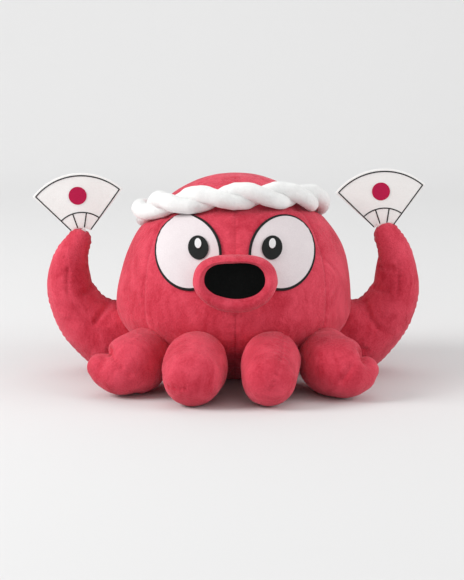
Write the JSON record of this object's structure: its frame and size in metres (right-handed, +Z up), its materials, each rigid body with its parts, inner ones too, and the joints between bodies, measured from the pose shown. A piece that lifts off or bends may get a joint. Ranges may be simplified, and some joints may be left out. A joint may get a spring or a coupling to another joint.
{
  "type": "stuffed octopus toy",
  "caption": "Seated stuffed octopus toy in red velour with a twisted white headband, oval eyes, an open snout, curved arms holding felt fans, and stubby legs that flex at their sewn roots",
  "frame": {"origin": "centre of the flat base panel, on the surface that the toy sits on", "axes": "+Z up; the face looks along -Y; +X is to the viewer's right as the face is looked at"},
  "size_m": [0.3405, 0.2669, 0.178],
  "materials": {
    "velour": "short-pile red velour with a soft pink sheen",
    "white_velour": "short-pile white velour, stuffed and twisted",
    "white_cloth": "flat white applique cloth with a very short pile",
    "black_cloth": "flat black applique cloth with a very short pile",
    "black_thread": "black satin-stitch embroidery",
    "white_thread": "white satin-stitch embroidery",
    "fibre": "white polyester fibre filling",
    "pellets": "cloth bag of plastic pellets",
    "fan_felt": "stiff white felt-backed cloth",
    "black_print": "narrow dark stitched line",
    "crimson_print": "plain crimson disc"
  },
  "bodies": {
    "head": {"head_panel_front_left": "velour", "head_panel_front_right": "velour", "head_panel_back_left": "velour", "head_panel_back_right": "velour", "base_panel": "velour", "head_filling": "fibre", "pellet_bag": "pellets", "snout_cover": "velour", "snout_filling": "fibre", "mouth_patch": "black_cloth", "left_eye_outline": "black_thread", "right_eye_outline": "black_thread", "left_eye_white": "white_cloth", "right_eye_white": "white_cloth", "left_eye_pupil": "black_thread", "right_eye_pupil": "black_thread", "left_eye_catchlight": "white_thread", "right_eye_catchlight": "white_thread", "headband_strand_a": "white_velour", "headband_strand_b": "white_velour"},
    "left_arm": {"left_arm_cover": "velour", "left_arm_filling": "fibre", "left_fan_tab": "fan_felt"},
    "right_arm": {"right_arm_cover": "velour", "right_arm_filling": "fibre", "right_fan_tab": "fan_felt"},
    "left_fan": {"left_fan_panel": "fan_felt", "left_fan_outline": "black_print", "left_fan_disc": "crimson_print"},
    "right_fan": {"right_fan_panel": "fan_felt", "right_fan_outline": "black_print", "right_fan_disc": "crimson_print"},
    "left_front_leg": {"left_front_leg_cover": "velour", "left_front_leg_filling": "fibre"},
    "right_front_leg": {"right_front_leg_cover": "velour", "right_front_leg_filling": "fibre"},
    "left_outer_leg": {"left_outer_leg_cover": "velour", "left_outer_leg_filling": "fibre"},
    "right_outer_leg": {"right_outer_leg_cover": "velour", "right_outer_leg_filling": "fibre"},
    "left_rear_leg": {"left_rear_leg_cover": "velour", "left_rear_leg_filling": "fibre"},
    "right_rear_leg": {"right_rear_leg_cover": "velour", "right_rear_leg_filling": "fibre"}
  },
  "joints": [
    {"name": "left_arm_flex", "type": "hinge", "parent": "head", "child": "left_arm", "pos_m": [-0.09687, 0.01085, 0.029], "axis": [1, 0, 0], "range_deg": [-18, 18], "stiffness_Nm_per_rad": 0.3},
    {"name": "right_arm_flex", "type": "hinge", "parent": "head", "child": "right_arm", "pos_m": [0.09687, 0.01085, 0.029], "axis": [1, 0, 0], "range_deg": [-18, 18], "stiffness_Nm_per_rad": 0.3},
    {"name": "left_fan_flex", "type": "hinge", "parent": "left_arm", "child": "left_fan", "pos_m": [-0.13481, 0.004, 0.12843], "axis": [0.9945, 0, 0.1045], "range_deg": [-25, 25], "stiffness_Nm_per_rad": 0.02},
    {"name": "right_fan_flex", "type": "hinge", "parent": "right_arm", "child": "right_fan", "pos_m": [0.12769, 0.004, 0.13493], "axis": [0.9945, 0, 0.1045], "range_deg": [-25, 25], "stiffness_Nm_per_rad": 0.02},
    {"name": "left_front_leg_lift", "type": "hinge", "parent": "head", "child": "left_front_leg", "pos_m": [-0.03016, -0.08464, 0.03], "axis": [-0.9703, 0.2419, 0], "range_deg": [0, 15], "stiffness_Nm_per_rad": 0.2},
    {"name": "right_front_leg_lift", "type": "hinge", "parent": "head", "child": "right_front_leg", "pos_m": [0.03016, -0.08464, 0.03], "axis": [-0.9994, 0.0349, 0], "range_deg": [0, 15], "stiffness_Nm_per_rad": 0.2},
    {"name": "left_outer_leg_lift", "type": "hinge", "parent": "head", "child": "left_outer_leg", "pos_m": [-0.07477, -0.05721, 0.03], "axis": [-0.7431, 0.6691, 0], "range_deg": [0, 15], "stiffness_Nm_per_rad": 0.2},
    {"name": "right_outer_leg_lift", "type": "hinge", "parent": "head", "child": "right_outer_leg", "pos_m": [0.07477, -0.05721, 0.03], "axis": [-0.788, -0.6157, 0], "range_deg": [0, 15], "stiffness_Nm_per_rad": 0.2},
    {"name": "left_rear_leg_lift", "type": "hinge", "parent": "head", "child": "left_rear_leg", "pos_m": [-0.04582, 0.07858, 0.03], "axis": [0.8829, 0.4695, 0], "range_deg": [0, 15], "stiffness_Nm_per_rad": 0.2},
    {"name": "right_rear_leg_lift", "type": "hinge", "parent": "head", "child": "right_rear_leg", "pos_m": [0.04582, 0.07858, 0.03], "axis": [0.8829, -0.4695, 0], "range_deg": [0, 15], "stiffness_Nm_per_rad": 0.2}
  ]
}
